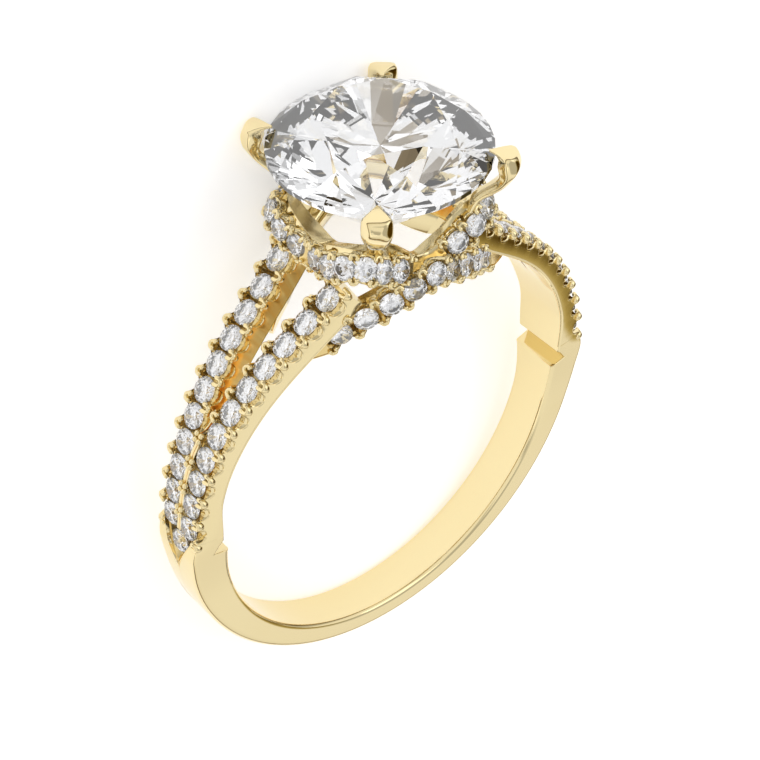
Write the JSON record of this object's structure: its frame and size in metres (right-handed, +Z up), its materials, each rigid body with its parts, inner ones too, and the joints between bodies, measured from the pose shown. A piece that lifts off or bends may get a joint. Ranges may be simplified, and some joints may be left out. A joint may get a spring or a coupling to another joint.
{
  "type": "split shank ring",
  "caption": "Finger ring lying on its side: polished band splitting into stone-set arms, a wavy set collar, arches and claws round a large round brilliant.",
  "frame": {"origin": "middle of the footprint, on the surface that the ring lies on", "axes": "+Z up, away from the surface and roughly along the finger; the main stone points towards -Y, the bottom of the band towards +Y, the left shoulder of the picture is at +X and the right one at -X, and its front face is the upper one"},
  "size_m": [0.021, 0.0266, 0.0086],
  "materials": {
    "gold": "polished yellow gold",
    "main_stone": "faceted, colourless",
    "small_stones": "faceted, colourless"
  },
  "bodies": {
    "root": {"mount": "gold", "centre_stone": "main_stone", "left_shoulder_stones": "small_stones", "right_shoulder_stones": "small_stones", "collar_stones": "small_stones", "front_arch_stones": "small_stones", "back_arch_stones": "small_stones"}
  },
  "joints": []
}
